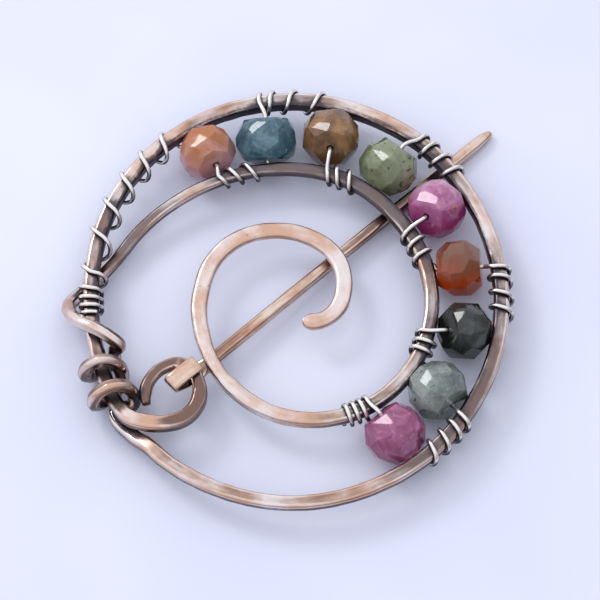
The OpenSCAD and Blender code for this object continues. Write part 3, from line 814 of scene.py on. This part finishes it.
# %% Colours and new finishes
def srgb(r, g, b):
    """A colour read as 0 to 255 on a screen, in the linear numbers that a shader wants."""
    return (*(((c / 255 + 0.055) / 1.055) ** 2.4 if c > 10 else c / 3295 for c in (r, g, b)), 1)


def new_finish(name):
    """A new material, with a wrapped socket to start from and the place of each point on its object."""
    material = bpy.data.materials.new(name)
    material.use_nodes = True
    tree = material.node_tree
    shader = tree.nodes["Principled BSDF"]
    start = Sock(tree, None)
    return material, tree, shader, start, start.node("ShaderNodeTexCoord", out="Object")


def feed(tree, shader, **links):
    """Give sockets of a shader their values or links."""
    for key, value in links.items():
        socket = shader.inputs[key.replace("_", " ")]
        if isinstance(value, Sock):
            tree.links.new(value.socket, socket)
        else:
            socket.default_value = value


print("a middle grey is", round(srgb(128, 128, 128)[0], 3), "in the numbers of a shader")

# %% [markdown]
# ## Where the patina and the shade stay
# The copper was darkened all over and then rubbed bright. Dark metal stays where a cloth can't
# reach: beside the silver wraps, where wires cross or lie close, inside the coils and under the
# strap. Shade falls in the same places, so the darkening there is partly patina and partly painted
# shade. Painting it by hand would be lost with every change of shape, so each point of the copper
# measures how near the next piece of metal is.


# %% Measure the nooks
def point_tree(points):
    tree = kdtree.KDTree(len(points))
    for i, p in enumerate(points):
        tree.insert(Vector(p), i)
    tree.balance()
    return tree


silver_tree = point_tree([s[0] for s in silver_route])
wire_tree = point_tree([s[0] for s in wire_route])
# How near other metal makes a nook, and over how much more it fades: in millimetres from the
# middle of a wire. A wrap has a wide faint nook and a narrow dark one.
BY_WRAP, AT_WRAP, BY_COPPER = (0.45, 1.4), (0.34, 0.45), (1.0, 0.8)
# A stretch of copper is another one when it lies so many samples away
NEIGHBOURS, SAMPLES_AWAY, FAR, STICK_ROOM = 40, 28, 9.0, 0.25


def nook_values(obj, other_metal):
    """For each point: 1 in a nook close to other metal, 0 out in the open."""
    values = []
    for v in obj.data.vertices:
        p = v.co / MM
        near = silver_tree.find(p)[2]
        beside = 0.3 * fading(near, *BY_WRAP) + 0.36 * fading(near, *AT_WRAP)
        values.append(float(max(beside, fading(other_metal(p), *BY_COPPER))))
    return values


def far_wire(p):
    """Distance to the nearest stretch of copper other than the one that p is on."""
    found = wire_tree.find_n(p, NEIGHBOURS)
    return min([d for _, i, d in found if abs(i - found[0][1]) > SAMPLES_AWAY] or [FAR])


for metal, other_metal in ((copper_frame, far_wire),
                           (pin_stick, lambda p: wire_tree.find(p)[2] + STICK_ROOM)):
    nooks = nook_values(metal, other_metal)
    # The nook number darkens the copper: partly patina, partly painted shade
    metal.data.attributes.new("nook", "FLOAT", "POINT").data.foreach_set("value", nooks)
    print(metal.name, "in a nook:", round(100 * float(np.mean(nooks))), "percent")

# %% [markdown]
# ## Copper
# Rubbed copper is pale where it is bright, orange where a little colour is left, and violet
# brown under the patina. Streaks follow the wire, so the noise is stretched along it by reading
# the two numbers that the sweep left on each point.


# %% Copper finish
GREY_PATINA, BROWN_PATINA = srgb(114, 104, 104), srgb(122, 97, 88)
# Grey and black: the colours of patina and of painted shade
PATINA_SHADE_GREY, PATINA_SHADE_BLACK, PITTED = srgb(88, 78, 80), srgb(60, 57, 68), srgb(70, 56, 58)


def copper_finish(name, pale, warm, seed, under=0.42):
    """Two colours of rubbed copper; under is how much painted shade darkens the side that faces down."""
    material, tree, shader, s, place = new_finish(name)
    along, around, worn, edge, brown = [s.kept(key) for key in ("along", "around", "worn", "edge", "brown")]
    streak_at = s.node("ShaderNodeCombineXYZ", {}, {0: along * 0.09, 1: around * 11, 2: seed})
    streak = streak_at.cloudy(1.6, 5, 0.6)
    cloud, fine, dents = place.cloudy(190, 3, 0.55), place.cloudy(1700, 4, 0.65), place.cloudy(420, 2)
    # Painted shade: the side that faces down is darker
    low = 1 - s.facing_up().above(-0.35, 0.5)
    # How much brown or grey patina is left on the rubbed copper; on the swirl and the coils it also paints
    # light and shade
    stain = (worn * 1.1 + streak * 0.7 + cloud * 0.35 + edge * -0.5 - 0.87).above(0.0, 0.5)
    # Patina and painted shade in nooks, painted shade on the dark side and underneath: first grey, and black
    # where it is thick
    shade_and_patina = s.kept("nook") * 0.82 + s.kept("side").above(0.15, 0.75) * 0.6 + low * (brown * 0.3 + under)
    darkness = shade_and_patina + (streak - 0.5) * 0.75 + (fine - 0.5) * 0.3 + worn * 0.12 - edge * 0.22 - 0.1
    grey, black = darkness.above(0.1, 0.45), darkness.above(0.42, 0.95)
    pit = fine.above(0.6, 0.68) * s.kept("pits") * streak.above(0.45, 0.6)
    bright = (cloud + streak * 0.5).above(0.58, 0.94).mix(srgb(*pale), srgb(*warm))
    patina = (brown + (cloud - 0.5) * 1.5).above(0.2, 0.8).mix(GREY_PATINA, BROWN_PATINA)
    colour = black.mix(grey.mix(stain.mix(bright, patina), PATINA_SHADE_GREY), PATINA_SHADE_BLACK)
    colour = (pit * 0.8).mix(colour, PITTED)
    rough = 0.3 + stain * 0.12 + grey * 0.1 + black * 0.1 + (fine - 0.5) * 0.16
    rough = rough * (1 - brown * 0.45) * (1 - edge * 0.3)
    height = dents + fine * 0.3 - pit * 0.6
    bump = s.node("ShaderNodeBump", {}, {"Strength": 0.35, "Distance": 0.06 * MM, "Height": height})
    feed(tree, shader, Base_Color=colour, Metallic=1 - black * 0.7, Roughness=rough, Normal=bump)
    return material


frame_copper = copper_finish("copper_frame", pale=(226, 213, 208), warm=(204, 165, 142), seed=1.0)
stick_copper = copper_finish("copper_stick", pale=(220, 198, 182), warm=(194, 148, 118), seed=7.0, under=0.15)
copper_frame.data.materials.append(frame_copper)
pin_stick.data.materials.append(stick_copper)
print("nodes in the copper:", len(frame_copper.node_tree.nodes))

# %% [markdown]
# ## Silver
# The thin wire is bright, with fine draw lines along it, patches of tarnish and painted shade on
# its lower side. It could share the copper's graph in other colours, but drawn wire has no dents
# or pits, so it gets a shorter one of its own.


# %% Silver finish
def silver_finish():
    material, tree, shader, s, place = new_finish("silver_wire")
    line_at = s.node("ShaderNodeCombineXYZ", {}, {0: s.kept("along") * 0.3, 1: s.kept("around") * 14, 2: 3.0})
    lines, cloud = line_at.cloudy(2.2, 4), place.cloudy(500, 3)
    # Painted shade: the side that faces down is darker, mixed in with the tarnish
    under = 1 - s.facing_up().above(-0.15, 0.75)
    tarnish_and_shade = (under * 1.1 + (cloud - 0.5) * 1.0 + (lines - 0.5) * 0.9).above(0.2, 0.85)
    colour = tarnish_and_shade.mix(srgb(231, 226, 219), srgb(70, 64, 72))
    feed(tree, shader, Base_Color=colour, Metallic=1.0, Roughness=0.2 + tarnish_and_shade * 0.2 + lines * 0.08)
    return material


silver_strand.data.materials.append(silver_finish())
print("nodes in the silver:", len(silver_strand.data.materials[0].node_tree.nodes))

# %% [markdown]
# ## Stone
# Each stone gets light from inside as well as from its polish: a little light enters, scatters
# and leaves again, which is what subsurface does. The colour clouds, veins and specks of each
# stone are noise at different sizes, mixed from three colours read off the real stone. The real
# ones are clearer, but then the clouds inside them would need shapes of their own, so these let
# only a little light straight through.


# %% Stone finish
def stone_finish(name, centre, deep, body, light, cloud=260, veins=0.3, specks=0.0, speck=(30, 30, 20),
                 soft=0.35, clear=0.1, lean=(0, 0, 0), tone=-0.02, rim=None):
    """Three colours from dark to light. lean makes one side lighter, so much per millimetre along
    each axis, partly the stone's own banding and partly painted light; tone makes all of it
    lighter, and rim is the colour low down, which with the deep colour, the default, is painted shade."""
    material, tree, shader, s, place = new_finish(name)
    inside = s.node("ShaderNodeVectorMath", {"operation": "SUBTRACT"}, {0: place, 1: centre})
    # lean: one side lighter, partly the stone's own banding and partly painted light
    drift = s.node("ShaderNodeVectorMath", {"operation": "DOT_PRODUCT"},
                   {0: inside, 1: tuple(c / MM for c in lean)}, out="Value")
    big, small = place.cloudy(cloud, 4, 0.6, 0.8), place.cloudy(cloud * 5, 5, 0.7)
    cells = s.node("ShaderNodeTexVoronoi", {"feature": "DISTANCE_TO_EDGE"},
                   {"Vector": place, "Scale": cloud * 1.2})
    depth = big * 0.8 + small * 0.25 + drift + tone
    ramp = [(0.32, srgb(*deep)), (0.5, srgb(*body)), (0.7, srgb(*light))]
    base = s.node("ShaderNodeValToRGB", {"stops": ramp}, {0: depth})
    vein = (1 - cells.above(0.0, 0.06)) * small.above(0.45, 0.6) * veins
    base = vein.mix(base, srgb(*light))
    # Painted shade: the stone takes the rim colour towards its lower side
    height = s.node("ShaderNodeSeparateXYZ", {}, {0: inside}, out="Z") * (0.25 / MM)
    base = ((1 - height.above(-0.15, 0.85)) * 0.75).mix(base, srgb(*(rim or deep)))
    if specks:
        spot = place.cloudy(cloud * 6, 2)
        base = (spot.above(0.62, 0.68) * big.above(0.42, 0.55) * specks).mix(base, srgb(*speck))
    feed(tree, shader, Base_Color=base, Roughness=0.05 + small * 0.07, IOR=1.5)
    feed(tree, shader, Transmission_Weight=clear, Subsurface_Weight=soft,
         Subsurface_Radius=(1.0, 0.75, 0.65), Subsurface_Scale=1.5 * MM,
         Coat_Weight=0.3, Coat_IOR=1.5, Coat_Roughness=0.03)
    return material


# %% Colours of the stones
STONES = {
    "bead_peach": dict(deep=(170, 90, 24), body=(172, 104, 52), light=(194, 150, 142), cloud=130,
                       rim=(184, 138, 154), lean=(0.02, -0.01, 0.0), soft=0.4, clear=0.0),
    "bead_teal": dict(deep=(40, 78, 88), body=(62, 100, 114), light=(118, 152, 164), veins=0.4),
    "bead_amber": dict(deep=(80, 56, 40), body=(132, 94, 60), light=(178, 136, 84), clear=0.15,
                       lean=(0.0, -0.03, 0.0)),
    "bead_sage": dict(deep=(88, 94, 62), body=(116, 124, 92), light=(160, 168, 138), specks=0.9,
                      speck=(60, 58, 28), cloud=200, veins=0.15),
    "bead_pink": dict(deep=(136, 46, 98), body=(156, 74, 124), light=(204, 156, 186), specks=0.6,
                      speck=(192, 112, 44), cloud=160, lean=(-0.03, 0.04, 0.02), clear=0.0),
    "bead_rust": dict(deep=(164, 60, 8), body=(126, 57, 18), light=(116, 69, 44), lean=(0, 0.09, 0.03),
                      cloud=200, clear=0.0),
    "bead_forest": dict(deep=(24, 27, 24), body=(36, 40, 36), light=(80, 88, 88), tone=-0.07, veins=0.1),
    "bead_misty": dict(deep=(84, 96, 90), body=(120, 131, 126), light=(164, 173, 168), veins=0.4, specks=0.8,
                       speck=(44, 54, 48), lean=(-0.03, 0.0, 0.0)),
    "bead_plum": dict(deep=(120, 52, 88), body=(156, 86, 124), light=(204, 146, 178), clear=0.0)}
for name, colours in STONES.items():
    stones[name].data.materials.append(stone_finish(stones[name].name, stone_centres[name], **colours))
print("stone finishes:", len(STONES))

# %% [markdown]
# ## Floor and light
# The pin lies on smooth pale paper under a wide soft light from the upper left, so shadows are
# faint and fall to the lower right. Metal shows what is round it, so the sky is bright overhead
# and to the upper left and dark low down on the right, which draws the dark edges of the wires.

# %% Floor
floor_mesh = bpy.data.meshes.new("floor")
floor_mesh.from_pydata([(-1, -1, 0), (1, -1, 0), (1, 1, 0), (-1, 1, 0)], [], [(0, 1, 2, 3)])
floor = put("floor", floor_mesh)


def floor_finish():
    material, tree, shader, _, place = new_finish("paper")
    colour = place.cloudy(28, 2).above(0.35, 0.7).mix(srgb(223, 225, 242), srgb(228, 230, 245))
    feed(tree, shader, Base_Color=colour, Roughness=0.85, Specular_IOR_Level=0.2)
    return material


floor_mesh.materials.append(floor_finish())
print("paper", [round(d, 1) for d in floor.dimensions], "metres")

# %% Sky
# The brightest part of the sky, its two colours and its strength
SKY_TOWARD, SKY_DARK, SKY_BRIGHT = (-0.42, 0.42, 0.8), (0.27, 0.26, 0.3, 1), (0.97, 1.0, 1.08, 1)
SKY_POWER = 1.14
world = bpy.data.worlds.new("studio")
bpy.context.scene.world = world
world.use_nodes = True
sky_tree = world.node_tree
sky = Sock(sky_tree, None)
direction = sky.node("ShaderNodeTexCoord", out="Generated")
toward = sky.node("ShaderNodeVectorMath", {"operation": "DOT_PRODUCT"}, {0: direction, 1: SKY_TOWARD},
                  out="Value")
sky_colour = toward.above(-0.45, 0.75).mix(SKY_DARK, SKY_BRIGHT)
feed(sky_tree, sky_tree.nodes["Background"], Color=sky_colour, Strength=SKY_POWER)
print("sky strength", SKY_POWER)

# %% Key light
KEY_PLACE, KEY_SIZE, KEY_POWER = (-0.20, 0.19, 0.26), 0.1, 0.28
light = bpy.data.lights.new("key", "AREA")
light.size = KEY_SIZE
light.energy = KEY_POWER
lamp = put("key", light)
lamp.location = KEY_PLACE
lamp.rotation_euler = (-Vector(KEY_PLACE)).to_track_quat("-Z", "Y").to_euler()
print("key light", round(Vector(KEY_PLACE).length, 2), "metres from the pin")

# %% [markdown]
# ## Hand the pieces over
# Every piece rides on its body, so that it moves with the joint, and replaces its plain solid.

# %% Ride and replace
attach(copper_frame, "frame")
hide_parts("frame_wire")
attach(pin_stick, "pin")
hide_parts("pin_stick")
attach(silver_strand, "frame")
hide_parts("silver_wire")
for name, stone in stones.items():
    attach(stone, "frame")
    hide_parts(name)
print("pieces handed over:", 3 + len(stones))
